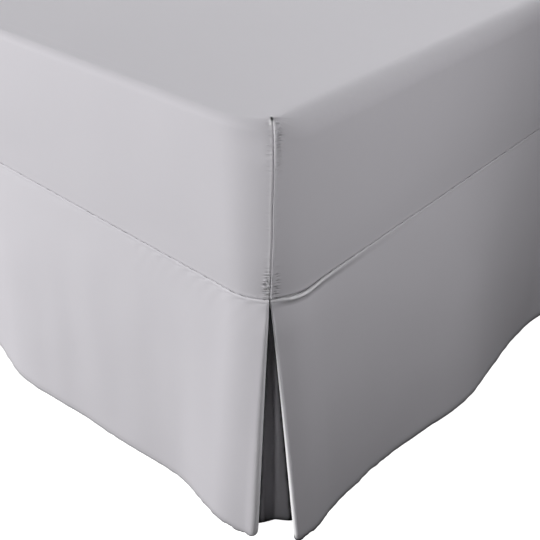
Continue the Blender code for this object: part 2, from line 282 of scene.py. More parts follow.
def gathered_height(tree, uv, place):
    """Short creases square to a seam, and a fan of them round the upper end of a corner seam."""
    across = add_node(tree, "SeparateXYZ", "X", Vector=uv)
    down = add_node(tree, "SeparateXYZ", "Y", Vector=uv)
    turn = add_math(tree, "ARCTAN2", add_math(tree, "SUBTRACT", down, DART_TIP), across)
    fan = add_node(tree, "CombineXYZ", "Vector", X=turn, Y=place)
    height = None
    for name, source, stretch in (("corner_gather", uv, (70, 350, 0)),
                                  ("edge_gather", uv, (150, 25, 0)),
                                  ("fan_gather", fan, (4.2, 1.3, 0))):
        spread = add_node(tree, "Mapping", "Vector", Vector=source, Scale=stretch)
        creases = add_math(tree, "SUBTRACT", add_noise(tree, spread, 1.0, 2.0, 0.6), 0.5)
        part = add_math(tree, "MULTIPLY", creases, attribute(tree, name))
        height = part if height is None else add_math(tree, "ADD", height, part)
    return height


def cloth_material():
    made, tree, shader = new_material("brushed_microfibre", Roughness=0.82, Specular_IOR_Level=0.25,
                                      Sheen_Weight=0.12, Sheen_Roughness=0.45)
    place = add_node(tree, "TexCoord", "Object")
    uv = add_node(tree, "UVMap", "UV", [("uv_map", "cloth")])
    broad = add_math(tree, "MULTIPLY", add_noise(tree, place, 7.0, 3.0), 0.6)
    fine = add_math(tree, "MULTIPLY", add_noise(tree, place, 160.0, 4.0, 0.6), 0.4)
    colour = add_mix(tree, add_math(tree, "ADD", broad, fine), CLOTH_SHADE, CLOTH_COLOUR)
    # mixes in the painted highlight and the painted shade that the piece's two attributes give
    colour = add_mix(tree, attribute(tree, "painted_highlight"), colour, PAINTED_HIGHLIGHT_COLOUR)
    colour = add_mix(tree, attribute(tree, "gap"), colour, PAINTED_SHADE_COLOUR)
    wave_scale = THREADS_PER_METRE * math.tau / 20 / 2
    warp, weft = (add_wave(tree, uv, wave_scale, direction, 0.4) for direction in "XY")
    nap = add_bump(tree, add_noise(tree, place, 46.0, 3.0, 0.55), 0.0006, 0.35)
    gathers = add_bump(tree, gathered_height(tree, uv, place), 0.011, 1.0, Normal=nap)
    weave = add_math(tree, "ADD", warp, weft)
    dress(tree, shader, colour, add_bump(tree, weave, 0.00008, 0.25, Normal=gathers))
    return made


microfibre = cloth_material()
print("material:", microfibre.name)

# %% [markdown]
# ## Putting a piece on the bed
#
# Every finished piece is linked to the scene, stands for its solid in the frame, and rides on the
# bed's one body. A sheet gets its thickness from Solidify, the same way cloth is one surface with
# a back and a front.

# %% Finish a piece
def finish_piece(name, bm, material, node, smooth_degrees=50):
    mesh = bpy.data.meshes.new(name)
    bm.to_mesh(mesh)
    bm.free()
    mesh.materials.append(material)
    mesh.shade_smooth()
    mesh.set_sharp_from_angle(angle=math.radians(smooth_degrees))
    piece = new_object(name, mesh)
    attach(piece, "root")
    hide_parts(node)
    print(f"{name}: {len(mesh.vertices)} vertices, {len(mesh.polygons)} faces")
    return piece


def finish_sheet(name, bm, node, smooth_degrees=70, offset=0):
    piece = finish_piece(name, bm, microfibre, node, smooth_degrees)
    solidify = piece.modifiers.new("cloth_thickness", "SOLIDIFY")
    solidify.thickness = CLOTH
    solidify.offset = offset
    solidify.use_even_offset = False
    return piece


# %% [markdown]
# ## Where the cloth is uneven
#
# Real cloth is never a perfect plane. A few small functions say how far it stands out at each
# place: a soft unevenness everywhere, and short puckers where a seam gathers it. Noise has no
# seed, so the cloth comes out the same every time.

# %% Unevenness
def soft_noise(x, y, z, scale):
    """Between -1 and 1, changing over about this many metres."""
    return noise.noise(Vector((x, y, z)) / scale)


def bump(distance, width):
    """1 at distance 0, falling away smoothly within a few widths."""
    return math.exp(-((distance / width) ** 2))


def eased(share):
    share = min(1.0, max(0.0, share))
    return share * share * (3 - 2 * share)


def puckers(across, along, seed):
    """Short ripples that cross a seam: across is the distance from it, along runs down it."""
    waver = 2.4 * soft_noise(seed, across, along, 0.012)
    ripple = math.sin(math.tau * (along + 0.25 * across) / 0.0056 + waver)
    return ripple * (0.65 + 0.7 * soft_noise(seed + 9, 2 * across, along, 0.009))


print("puckers 2 mm from a seam:", [round(puckers(0.002, 0.001 * i, 1), 2) for i in range(5)])

# %% [markdown]
# ## The fitted cover
#
# The cover is one cloth. It starts as a grid for the flat top, whose lines are slid towards the
# corners so that the detail there is fine. The rim is then drawn over the edge and down the walls,
# one row at a time, with bmesh's edge extrude. Each row knows how far down the wall it is, so the
# seam, its puckers and the slight bulge of the sides can be set as it goes.

# %% Cover: grid lines
RIM_X, RIM_Y = HALF_WIDTH - EDGE_RADIUS, HALF_LENGTH - EDGE_RADIUS  # where the flat top ends
RIM_RADIUS = CORNER_RADIUS - EDGE_RADIUS
TOP_STEP = 0.034
CORNER_STEPS = (0, 0.0007, 0.0014, 0.0022, 0.0032, 0.0044, 0.006, 0.008, 0.0105, 0.014, 0.019,
                0.025, 0.033, 0.042)


def close_at_ends(first, length, step, last):
    """Places up to length: the first ones, even steps, then the last ones from the far end."""
    middle = length - first[-1] - last[-1]
    count = round(middle / step)
    inside = [first[-1] + middle * i / count for i in range(1, count)]
    return [*first, *inside, *(length - d for d in reversed(last))]


def grid_lines(half):
    """Places of grid lines from -half to half, close together near both ends."""
    ends = [d * RIM_RADIUS / CORNER_STEPS[-1] for d in CORNER_STEPS]
    return [d - half for d in close_at_ends(ends, 2 * half, TOP_STEP, ends)]


def line_number(place, count):
    """Which of a grid's lines a vertex is on, when the grid runs from -1 to 1."""
    return round((place + 1) / 2 * (count - 1))


print("lines across the cover:", len(grid_lines(RIM_X)))


# %% Cover: rounded plan
def past_turn(x, y):
    """How far a point of the top lies past the places where the rim starts to turn a corner."""
    return abs(x) - (RIM_X - RIM_RADIUS), abs(y) - (RIM_Y - RIM_RADIUS)


def round_corner(x, y):
    """Moves a point of a square-cornered sheet so that the sheet's corner becomes round."""
    past_x, past_y = past_turn(x, y)
    if past_x <= 0 or past_y <= 0:
        return x, y
    squeeze = max(past_x, past_y) / math.hypot(past_x, past_y)
    return (math.copysign(RIM_X - RIM_RADIUS + past_x * squeeze, x),
            math.copysign(RIM_Y - RIM_RADIUS + past_y * squeeze, y))


def rim_place(x, y):
    """Which corner a point of the top belongs to, and how far from its seam it meets the wall."""
    past_x, past_y = past_turn(x, y)
    if past_x > 0 and past_y > 0:
        across = (math.atan2(past_x, past_y) - math.pi / 4) * CORNER_RADIUS
    else:
        across = QUARTER - past_y if past_x > past_y else past_x - QUARTER
    return math.copysign(1, x), math.copysign(1, y), across


def outline(side_x, side_y, from_seam):
    """The wall's plan point and outward direction beside the corner seam (side_x, side_y).

    from_seam runs round the corner and on, positive towards the long side."""
    centre = Vector((side_x * (HALF_WIDTH - CORNER_RADIUS), side_y * (HALF_LENGTH - CORNER_RADIUS)))
    on_arc = max(-QUARTER, min(QUARTER, from_seam))
    angle = math.pi / 4 + on_arc / CORNER_RADIUS
    outward = Vector((side_x * math.sin(angle), side_y * math.cos(angle)))
    point, past = centre + outward * CORNER_RADIUS, from_seam - on_arc
    point.y -= side_y * max(past, 0.0)
    point.x += side_x * min(past, 0.0)
    return point, outward


print("the corner seam's foot stands at", tuple(round(c, 4) for c in outline(1, -1, 0.0)[0]))

# %% Cover: the corner seam's ridge
RIDGE = 0.0115  # how far the seam's ridge stands out of the rounded corner
SEAM_RIDGE = 0.75  # the share of it that is left at the skirt's seam
RIDGE_REACHES = (0.085, 0.060)  # towards the short side, towards the long side
RIDGE_POWERS = (2.3, 4.0)  # its flank is long towards the short side, steep towards the long
SEAM_SHIFT = 0.0007  # the seam runs a little beside the corner's middle
SEAM_LEAN = 0.0057  # and its top leans further towards the long side
WALL = EDGE_Z - SEAM_Z


def seam_lean(down):
    """The corner seam leans a little and wavers, as a sewn seam does."""
    return SEAM_SHIFT + SEAM_LEAN * (1 - down / WALL) + 0.0006 * soft_noise(3.1, 0, down, 0.045)


def corner_ridge(across):
    """The corner's sharpened shape: 1 at the seam, 0 where the flat sides begin."""
    side = across > 0
    return max(0.0, 1 - abs(across) / RIDGE_REACHES[side]) ** RIDGE_POWERS[side]


def seam_rise(across):
    """The skirt's seam rises a little under each corner and sags beside it on the long side."""
    return 0.0030 * corner_ridge(across) - 0.0022 * (across > 0) * bump(across - 0.050, 0.026)


print("the ridge, in mm:", [round(1000 * RIDGE * corner_ridge(a / 100), 1) for a in range(6)])

# %% Cover: folds and gathers beside the seam
# each fold's direction in degrees, its length and its height
DRAG_LINES = ((3, 0.011, 1.0), (27, 0.012, 0.8), (52, 0.006, 0.6), (-24, 0.005, 0.5),
              (176, 0.007, 0.8), (150, 0.006, 0.5), (204, 0.005, 0.4))


def drag_lines(across, down, seed):
    """Fine straight folds that fan out from the seam's upper end, where its gathering stops."""
    height = 0.0
    for number, (degrees, length, strength) in enumerate(DRAG_LINES):
        turn = math.radians(degrees + 6 * soft_noise(seed, number, 0, 0.7))
        reach = across * math.cos(turn) + (down - DART_TIP) * math.sin(turn)
        aside = (down - DART_TIP) * math.cos(turn) - across * math.sin(turn)
        if reach > 0:
            fading = min(1.0, reach / 0.003) * math.exp(-reach / length)
            height += strength * bump(aside, 0.0013) * fading
    return 0.0019 * height


def fan_strength(across, down):
    """Where the creases that fan out from the seam's upper end show."""
    reach = math.hypot(across, down - DART_TIP)
    turn = math.atan2(down - DART_TIP, across)
    ahead = bump(turn - 0.1, 0.55) + 0.4 * bump(abs(turn) - math.pi, 0.35)
    return 0.7 * eased(down / 0.006) * eased(reach / 0.004) * math.exp(-reach / 0.010) * ahead


def gathering(across, down, above_skirt):
    """How strongly the seam gathers the cloth beside it: most at its two ends."""
    right, left = bump(across - 0.0058, 0.0036), bump(across + 0.0034, 0.0028)
    upper = bump(down - DART_TIP - 0.022, 0.030) * (0.65 * right + 0.2 * left)
    lower = bump(above_skirt - 0.018, 0.022) * (0.7 * right + left)
    return eased((down - DART_TIP) / 0.003) * (upper + lower + 0.07 * (right + left))


print("gathers down the seam:", [round(gathering(0.006, d / 100, 0.1), 2) for d in (2, 4, 8)])


# %% Cover: relief of a corner
def corner_relief(across, down, above_skirt, seed):
    """The ridge, groove, welt and puckers of a corner seam."""
    height = RIDGE * eased((down - DART_TIP + 0.004) / 0.055) * corner_ridge(across)
    height *= SEAM_RIDGE + (1 - SEAM_RIDGE) * eased(above_skirt / 0.07)
    in_seam = eased((down - DART_TIP) / 0.003)
    height += 0.0015 * in_seam * bump(across - 0.0023, 0.0013)
    height -= 0.0013 * in_seam * bump(across, 0.0006)
    height -= 0.0040 * bump(math.hypot(across, down - DART_TIP), 0.0016)
    height += 0.0014 * bump(math.hypot(across + 0.0018, down - DART_TIP - 0.0030), 0.0013)
    aside = min(1.0, abs(across - 0.0006) / 0.0018)
    height += 0.0011 * aside * gathering(across, down, above_skirt) * puckers(across, down, seed)
    return height + drag_lines(across, down, seed)


print("the seam's ridge, outwards:", [round(1000 * corner_relief(a / 1000, 0.12, 0.1, 1), 1)
                                      for a in range(0, 30, 6)])


# %% Cover: the walls' relief
def wall_relief(across, down, z, seed):
    """How far the wall stands out: across from the corner seam, down along the cloth."""
    above_skirt = z - SEAM_Z
    from_top = min(1.0, max(0.0, (EDGE_Z - z) / WALL))
    flatter = 1 - 0.9 * eased(across / 0.06)  # the long sides stay flat
    height = SIDE_BULGE * flatter * math.sin(math.pi * from_top) ** 0.8
    height += corner_relief(across, down, above_skirt, seed)
    near_corner = bump(across, 0.09)
    height -= (0.0004 + 0.0012 * near_corner * (across > 0)) * bump(above_skirt, 0.0018)
    height += 0.0004 * bump(above_skirt - 0.0035, 0.0018)
    slack = eased(down / 0.05) * eased((above_skirt + 0.006) / 0.05)
    height += 0.0015 * slack * soft_noise(across, seed, down, 0.13)
    return height + 0.0006 * slack * soft_noise(across, seed + 3, 0.6 * down, 0.045)


print("relief down the wall:", [round(1000 * wall_relief(0.3, EDGE_Z - z, z, 1), 1)
                                for z in (0.42, 0.5, 0.6)])

# %% Cover: rows over the edge and down the wall
EDGE_ROWS = 24
WALL_ROWS = 104
LAST_ROWS = (0.0075, 0.0058, 0.0044, 0.0033, 0.0024, 0.0016, 0.0009, 0.0)
ROWS = EDGE_ROWS + WALL_ROWS + len(LAST_ROWS)


def edge_radius_at(outward):
    """The edge's roundness for a wall that faces this way."""
    return TIGHT_EDGE_RADIUS + (EDGE_RADIUS - TIGHT_EDGE_RADIUS) * outward.x ** 4


def wall_place(row, radius):
    """(out from the rim, z, cloth length from the rim) for a row, over an edge this round."""
    flat, arc = EDGE_RADIUS - radius, radius * math.pi / 2
    if row <= EDGE_ROWS:
        cloth = (flat + arc) * row / EDGE_ROWS
        if cloth < flat:
            return cloth, EDGE_Z, cloth
        angle = (cloth - flat) / radius
        return flat + radius * math.sin(angle), EDGE_Z - radius * (1 - math.cos(angle)), cloth
    wall_top, low = EDGE_Z - radius, SEAM_Z + LAST_ROWS[0]
    if row <= EDGE_ROWS + WALL_ROWS:
        z = wall_top + (low - wall_top) * (row - EDGE_ROWS) / WALL_ROWS
    else:
        z = SEAM_Z + LAST_ROWS[row - EDGE_ROWS - WALL_ROWS]
    return EDGE_RADIUS, z, flat + arc + wall_top - z


print("first row:", wall_place(1, EDGE_RADIUS))
print("last row:", wall_place(ROWS - 1, EDGE_RADIUS))


# %% Cover: draw the rows
def draw_row(bm, rim_edges):
    """Extrudes the open rim once. Gives the new rim's edges and each new vertex's parent."""
    drawn = bmesh.ops.extrude_edge_only(bm, edges=rim_edges)["geom"]
    new_verts = {g for g in drawn if isinstance(g, bmesh.types.BMVert)}
    parents = {vert: edge.other_vert(vert) for vert in new_verts for edge in vert.link_edges
               if edge.other_vert(vert) not in new_verts}
    new_edges = [g for g in drawn if isinstance(g, bmesh.types.BMEdge) and g.is_boundary]
    return new_edges, parents


print("rows to draw:", ROWS - 1)


# %% Cover: height of the top
def corner_seed(side_x, side_y):
    """Each corner has its own noise, so no two are alike."""
    return 11 + 5 * side_x + 3 * side_y


def top_height(x, y):
    """The crown, a soft unevenness, and the drag lines that run in over the edge."""
    across, lengthwise = (max(0.0, 1 - share ** 2) for share in (x / HALF_WIDTH, y / HALF_LENGTH))
    rise = (CROWN + 0.0012 * soft_noise(x, y, 0, 0.16)) * across * lengthwise
    past_x, past_y = past_turn(x, y)
    if past_x > 0 and past_y > 0:
        side_x, side_y, from_seam = rim_place(x, y)
        down = math.hypot(past_x, past_y) - RIM_RADIUS
        rise += drag_lines(from_seam, down, corner_seed(side_x, side_y))
    return rise


print("crown in the middle:", round(1000 * top_height(0, 0), 1), "mm")


# %% Cover: marks beside the seam
def seam_marks(across, down, above_skirt):
    """Painted highlight on the seam's lip, rim, stitches and welt, painted shade in its open end.
    """
    from_tip = down - DART_TIP
    # painted highlights: a lip and a rim at the seam's upper end, stitches low down, and the welt
    lip = 0.9 * bump(math.hypot(across + 0.0019, 0.45 * (from_tip - 0.0055)), 0.0016)
    rim = 0.5 * bump(math.hypot(across, from_tip + 0.0034), 0.0014)
    stitches = 0.5 + 0.5 * math.sin(math.tau * down / 0.0058)
    low = 0.45 * stitches * bump(above_skirt - 0.018, 0.022) * bump(across + 0.0017, 0.0010)
    upper = bump(from_tip - 0.010, 0.050)
    welt = eased(from_tip / 0.006) * (0.30 * upper + 0.05) * bump(across - 0.0022, 0.0010)
    welt += eased(from_tip / 0.012) * (0.24 - 0.08 * upper) * bump(across + 0.0021, 0.0011)
    # painted shade in the seam's open upper end, a small recess
    open_end_shade = 1.7 * bump(math.hypot(across - 0.0002, 0.55 * (from_tip - 0.0012)), 0.0015)
    return min(1.0, lip + rim + low + welt), min(1.0, open_end_shade)


print("pressed and open, at the seam's upper end:", seam_marks(0.0, DART_TIP, 0.1))

# %% Cover: build the sheet
RIM_FADE = 0.82  # the share of the rim's unevenness that each row down keeps


def fitted_sheet():
    lines_x, lines_y = grid_lines(RIM_X), grid_lines(RIM_Y)
    bm = bmesh.new()
    bmesh.ops.create_grid(bm, x_segments=len(lines_x) - 1, y_segments=len(lines_y) - 1, size=1.0)
    flat = bm.verts.layers.float_vector.new("flat")
    # the last two layers hold painted highlight and painted shade
    seam, hem, fan, painted_highlight, gap = [bm.verts.layers.float.new(name) for name in (
        "corner_gather", "edge_gather", "fan_gather", "painted_highlight", "gap")]
    for vert in bm.verts:
        x, y = round_corner(lines_x[line_number(vert.co.x, len(lines_x))],
                            lines_y[line_number(vert.co.y, len(lines_y))])
        vert.co = Vector((x, y, EDGE_Z + top_height(x, y)))
        vert[flat] = Vector((x, y, 0))
    rim_edges = [e for e in bm.edges if e.is_boundary]
    places = {v: rim_place(*v.co.xy) for e in rim_edges for v in e.verts}
    rim_heights = {v: v.co.z - EDGE_Z for v in places}

    for row in range(1, ROWS):
        rim_edges, parents = draw_row(bm, rim_edges)
        for vert, parent in parents.items():
            side_x, side_y, across = places[vert] = places[parent]
            rim_heights[vert] = RIM_FADE * rim_heights[parent]
            facing = outline(side_x, side_y, across)[1]
            out, z, cloth = wall_place(row, edge_radius_at(facing))
            lean = seam_lean(cloth) * bump(across, 0.05)
            point, outward = outline(side_x, side_y, across + lean)
            relief = wall_relief(across, cloth, z, corner_seed(side_x, side_y))
            turned = eased(out / EDGE_RADIUS)  # over the edge, relief turns from up to outwards
            point += outward * (out - EDGE_RADIUS + relief * turned)
            height = z + relief * (1 - turned) + rim_heights[vert]
            height += seam_rise(across) * eased(1 - (z - SEAM_Z) / 0.06)
            vert.co = Vector((point.x, point.y, height))
            vert[flat] = Vector((across, cloth, 1))
            vert[seam] = gathering(across, cloth, z - SEAM_Z)
            # painted highlight and painted shade beside the corner seam
            vert[painted_highlight], vert[gap] = seam_marks(across, cloth, z - SEAM_Z)
            vert[hem] = math.exp((SEAM_Z - z) / 0.004) * (0.06 + 0.12 * bump(across, 0.07))
            vert[fan] = fan_strength(across, cloth)
    bmesh.ops.recalc_face_normals(bm, faces=bm.faces)
    return bm


cover_sheet = fitted_sheet()
print("cover sheet:", len(cover_sheet.verts), "vertices")


# %% Cover: its UV map, in metres of cloth
def unfold(bm):
    """Lays the sheet flat: the top as it is, each wall from its own corner seam."""
    flat = bm.verts.layers.float_vector["flat"]
    uv = bm.loops.layers.uv.new("cloth")
    for face in bm.faces:
        on_wall = any(vert[flat].z > 0.5 for vert in face.verts)
        for loop in face.loops:
            place = loop.vert[flat]
            if on_wall and place.z < 0.5:
                loop[uv].uv = (rim_place(*loop.vert.co.xy)[2], 0)
            else:
                loop[uv].uv = (place.x, place.y)


unfold(cover_sheet)
cover = finish_sheet("cover", cover_sheet, "fitted_cover", 50, -1)

# %% [markdown]
# ## The skirt panels
#
# Each panel hangs from the seam, follows it round half of each corner, and ends in a pleat fold.
# The hem runs straighter than the seam does, so the panels part at the corner and the pleat
# opens. Soft folds grow from nothing at the seam to their full depth at the hem.
#
# Each side has a table, where a pair of values is for the panel's two ends. "fold_radius" is how
# round the pleat fold is at the hem, and "tip_short" how far it stops before the corner. "crease"
# gives a painted highlight along the fold: how strong it is, where round the fold it lies, and how
# wide it is.
# "folds" gives the hem's crests and troughs, in millimetres: how far along the side, and how far
# out from the cover's wall.

# %% Skirt: the folds of each side
SIDES = (
    {"name": "foot", "fold_radius": (0.006, 0.0078), "tip_short": (0.021, 0.0148),
     "crease": ((0.4, 0.60, 0.26), (0.55, 0.55, 0.60)),
     "folds": ((30, 32), (110, 24), (270, 37), (450, 28), (640, 44), (820, 34), (960, 58),
               (1160, 40), (1260, 29), (1340, 21), (1440, 35), (1496, 28))},
    {"name": "right", "fold_radius": (0.006, 0.009), "tip_short": (0.0158, 0.023),
     "crease": ((2.4, 0.58, 0.28), (0.6, 0.66, 0.20)),
     "folds": ((20, 36), (50, 41), (92, 36), (140, 34), (225, 38), (341, 55), (440, 70),
               (640, 48), (860, 62), (1060, 41), (1290, 58), (1500, 37), (1760, 49),
               (1920, 28), (2010, 34))},
    {"name": "head", "fold_radius": (0.006, 0.010), "tip_short": (0.020, 0.024),
     "crease": ((0.7, 0.70, 0.14), (0.5, 0.70, 0.10)),
     "folds": ((30, 30), (140, 24), (350, 46), (560, 32), (780, 52), (1010, 35), (1230, 43),
               (1400, 25), (1500, 30))},
    {"name": "left", "fold_radius": (0.005, 0.010), "tip_short": (0.020, 0.022),
     "crease": ((0.8, 0.66, 0.18), (0.6, 0.70, 0.12)),
     "folds": ((32, 34), (150, 27), (380, 55), (600, 39), (830, 67), (1050, 46), (1270, 59),
               (1480, 36), (1720, 54), (1900, 30), (2008, 36))},
)
for number, side in enumerate(SIDES):
    side["half"], side["out"] = HALF_WIDTH, HALF_LENGTH
    if number % 2:  # the right and the left side run along the bed's length
        side["half"], side["out"] = HALF_LENGTH, HALF_WIDTH
    side["folds"] = [(along / 1000, out / 1000) for along, out in side["folds"]]
print("sides:", [(side["name"], round(2 * side["half"], 2)) for side in SIDES])


# %% Skirt: the seam's path and the hem's path
def side_frame(number):
    """The corner where a side starts, its direction and its outward direction, in plan."""
    side = SIDES[number]
    quarter_turns = Matrix.Rotation(math.radians(90 * number), 3, "Z")
    along, outward = quarter_turns @ Vector((1, 0, 0)), quarter_turns @ Vector((0, -1, 0))
    return outward * side["out"] - along * side["half"], along, outward


def in_plan(number, points):
    """Turns a side's (along, out) points into points of the scene."""
    start, along, outward = side_frame(number)
    return [start + along * a + outward * out for a, out in points]


def seam_point(side, distance, inset):
    """(along, out) on the seam: distance is along the cloth from the first corner's middle."""
    straight = min(max(distance - QUARTER, 0.0), 2 * (side["half"] - CORNER_RADIUS))
    angle = (distance - QUARTER - straight) / CORNER_RADIUS
    radius = CORNER_RADIUS - inset
    along = CORNER_RADIUS + straight + radius * math.sin(angle)
    return along, radius * math.cos(angle) - CORNER_RADIUS


def hermite(start, start_slope, end, end_slope, share):
    """The smooth curve that leaves start and reaches end with these slopes, at this share."""
    s, s2, s3 = share, share**2, share**3
    return (start * (2 * s3 - 3 * s2 + 1) + start_slope * (s3 - 2 * s2 + s)
            + end * (3 * s2 - 2 * s3) + end_slope * (s3 - s2))


def hem_slope(folds, number):
    low, high = folds[max(0, number - 1)], folds[min(len(folds) - 1, number + 1)]
    return (high[1] - low[1]) / (high[0] - low[0])


def hem_out(side, along):
    """How far the hem stands out from the cover's side, on a smooth curve through the table."""
    folds = side["folds"]
    along = min(max(along, folds[0][0]), folds[-1][0])
    number = next(i for i in range(1, len(folds)) if along <= folds[i][0])
    low, high = folds[number - 1], folds[number]
    span = high[0] - low[0]
    slopes = hem_slope(folds, number - 1) * span, hem_slope(folds, number) * span
    return hermite(low[1], slopes[0], high[1], slopes[1], (along - low[0]) / span)


def panel_width(side):
    return 2 * (side["half"] - CORNER_RADIUS) + 2 * QUARTER


def hem_point(side, share, inset):
    first = side["tip_short"][0] + side["fold_radius"][0] * FOLD_LENGTH
    last = 2 * side["half"] - side["tip_short"][1] - side["fold_radius"][1] * FOLD_LENGTH
    along = first + share * (last - first)
    return along, hem_out(side, along) - inset


print("the foot panel is", round(panel_width(SIDES[0]), 3), "m between its pleat folds")

# %% Skirt: how the cloth lies across a panel
END_STEPS = (0, 0.002, 0.0045, 0.0075, 0.011, 0.015, 0.019, 0.023)
CLOSE_STEP = 0.0042
CLOSE_REACH = 0.24
FACE_STEP = 0.012
FOLD_STEPS = 16


def face_stations(side):
    """Distances along a panel's face, close together beside its pleat folds."""
    gap = TOP_FOLD_RADIUS + SOLID_CLOTH / 2 + SEAM_GAP
    ends = close_at_ends([gap + d for d in END_STEPS], CLOSE_REACH, CLOSE_STEP, [0])
    return close_at_ends(ends, panel_width(side), FACE_STEP, ends)


def return_stations(side):
    """Distances folded back behind the first end, then behind the last, raw edge first."""
    width = panel_width(side)
    stations = face_stations(side)
    first = [d for d in stations if d < PLEAT_RETURN]
    last = [d for d in stations if width - d < PLEAT_RETURN]
    return first[::-1], last[::-1]


def fold_arc(start, end, stretch):
    centre = (start + end) / 2
    spoke = start - centre
    across = Vector((-spoke.y, spoke.x)) * stretch
    angles = [math.pi * i / FOLD_STEPS for i in range(1, FOLD_STEPS)]
    return [centre + spoke * math.cos(a) - across * math.sin(a) for a in angles]


def panel_edge(side, at_hem):
    """A panel's plan points along its seam or its hem, from raw edge to raw edge."""
    stations = face_stations(side)
    first, last = stations[0], stations[-1]
    radii = side["fold_radius"] if at_hem else (TOP_FOLD_RADIUS, TOP_FOLD_RADIUS)
    stretch = FOLD_LENGTH if at_hem else 1.0

    def point(distance, inset):
        if at_hem:
            return Vector(hem_point(side, (distance - first) / (last - first), inset))
        return Vector(seam_point(side, distance, inset))

    face = [point(d, SOLID_CLOTH / 2) for d in stations]
    before, after = ([point(d, SOLID_CLOTH / 2 + 2 * radius) for d in back]
                     for back, radius in zip(return_stations(side), radii))
    return [*before, *fold_arc(before[-1], face[0], stretch), *face,
            *fold_arc(face[-1], after[0], stretch), *after]


def panel_columns(side):
    """For each point: its station, its painted highlight along a pleat fold, and the face point
    beside it.
    """
    stations, (before, after) = face_stations(side), return_stations(side)
    fold = range(1, FOLD_STEPS)
    # painted highlight along each pleat fold's crease
    creases = [[strength * max(0.0, 1 - abs(i / FOLD_STEPS - centre) / reach) for i in fold]
               for strength, centre, reach in side["crease"]]
    places = before + [stations[0]] * len(fold) + stations + [stations[-1]] * len(fold) + after
    painted_highlight = [0.0] * len(before) + creases[0][::-1] + [0.0] * len(stations) + creases[1]
    painted_highlight += [0.0] * len(after)
    face_start = len(before) + len(fold)
    return places, painted_highlight, [face_start + stations.index(place) for place in places]


print("points across the foot panel:", len(panel_edge(SIDES[0], True)))

# %% Skirt: rows down the panel
TOP_ROWS = (0, 0.0009, 0.0018, 0.0028, 0.0039, 0.0051, 0.0066, 0.009, 0.013, 0.019)
HEM_ROWS = (0, 0.001, 0.002, 0.003, 0.0042, 0.0056, 0.007, 0.008, 0.009, 0.0105, 0.013, 0.017,
            0.023)
ROW_STEP = 0.0085
DROP_ROWS = close_at_ends(TOP_ROWS, DROP - SEAM_GAP, ROW_STEP, HEM_ROWS)
SHARES = [row / (DROP - SEAM_GAP) for row in DROP_ROWS]
print("rows down a panel:", len(SHARES))


# %% Skirt: roll under the seam, and turned hem
def seam_roll(place, down, from_end, slack, seed):
    """Under the seam the gathered cloth rolls over: most near a corner, on the slack sides."""
    thick = slack * bump(from_end, 0.090) * eased((0.004 + from_end) / 0.045)
    swell = 0.6 + thick * (2.6 + 0.9 * soft_noise(place, seed, 0, 0.02))
    height = 0.0011 * swell * bump(down - 0.0022 - 0.0009 * thick, 0.0015 + 0.0006 * thick)
    return height - 0.0022 * thick * bump(down - 0.0092, 0.0020)


def hem_relief(place, above_hem, seed):
    """The narrow turned hem: a sewn line, small crinkles, and an edge that curls inwards."""
    ripple = soft_noise(place, seed + 13, 0, 0.0095) + 0.5 * soft_noise(place, seed + 17, 0, 0.021)
    height = 0.0010 * ripple * math.exp(-above_hem / 0.008)
    height -= 0.0004 * bump(above_hem - HEM_DEPTH, 0.0012)
    return height - 0.0010 * math.exp(-above_hem / 0.0020)


print("roll of the seam, in mm:", round(1000 * seam_roll(0.1, 0.002, 0.05, 1.0, 20), 1))


# %% Skirt: drop, shade and relief of a panel
def panel_drop(place, from_end, share, slack, seed):
    """How far a panel hangs lower: with its seam at the top, and by its free corners at the hem."""
    crinkle = soft_noise(place, seed + 23, 0, 0.0065) * bump(from_end - 0.022, 0.026)
    drop = 0.0020 + 0.0018 * slack + 0.0036 * bump(from_end - 0.015 * (1 - slack), 0.024)
    rise = seam_rise(from_end if slack else -from_end)
    drop = drop * share - rise * (1 - share)
    return drop + 0.0060 * min(0.1, crinkle) * eased((share - 0.97) / 0.03)


def panel_shade(from_end, share, slack):
    """(painted highlight, painted shade) of a panel: a highlight and shade lines at its rolled seam
    near a corner, and shade along its turned hem's lower edge.
    """
    down = share * DROP
    thick = slack * bump(from_end, 0.15) * eased((0.010 + from_end) / 0.045)
    # painted highlight on the roll under the seam
    light = 0.20 * bump(from_end, 0.08) + 0.8 * thick
    light *= bump(down - 0.0007 - 0.0014 * thick, 0.0011)
    # painted shade in a line at the seam and a line under the roll
    dark = thick * (0.45 * bump(down, 0.0011) + 1.0 * bump(down - 0.0078, 0.0014))
    # painted shade along the turned hem's lower edge
    edge = (0.30 + 0.30 * bump(from_end, 0.07) + 0.45 * slack) * bump(DROP - down, 0.0080)
    edge += 0.25 * bump(DROP - down, 0.0030)
    return min(1.0, light), min(1.0, dark + edge)


def skirt_relief(place, from_end, share, slack, seed):
    """How far a panel stands out from its plain shape, at a place along and a share down it."""
    down = share * DROP
    ridge = RIDGE * SEAM_RIDGE * math.exp(-down / 0.035)
    if not slack:
        ridge = (RIDGE * SEAM_RIDGE + 0.0050 * eased(down / 0.045)) * (1 - share) ** 0.45
    height = ridge * corner_ridge(from_end if slack else -from_end)
    height += 0.0062 * slack * eased(down / 0.045) * (1 - share)**0.7 * bump(from_end, 0.060)
    height -= 0.0046 * (1 - slack) * share * max(0.0, 1 - from_end / 0.042) ** 2
    height += seam_roll(place, down, from_end, slack, seed)
    height += 0.0018 * eased(share * 1.5) * soft_noise(place, seed, down * 0.12, 0.055)
    height += 0.0025 * share**1.5 * soft_noise(place, seed + 5, down * 0.15, 0.15)
    height += 0.0012 * soft_noise(place, down, seed + 7, 0.085) * eased(down / 0.05)
    height += hem_relief(place, DROP - down, seed)
    return height + 0.0009 * puckers(from_end, 2.5 * down, seed) * math.exp(-down / 0.02)


print("relief half way down, in mm:", round(1000 * skirt_relief(0.7, 0.7, 0.5, 0.0, 20), 1))

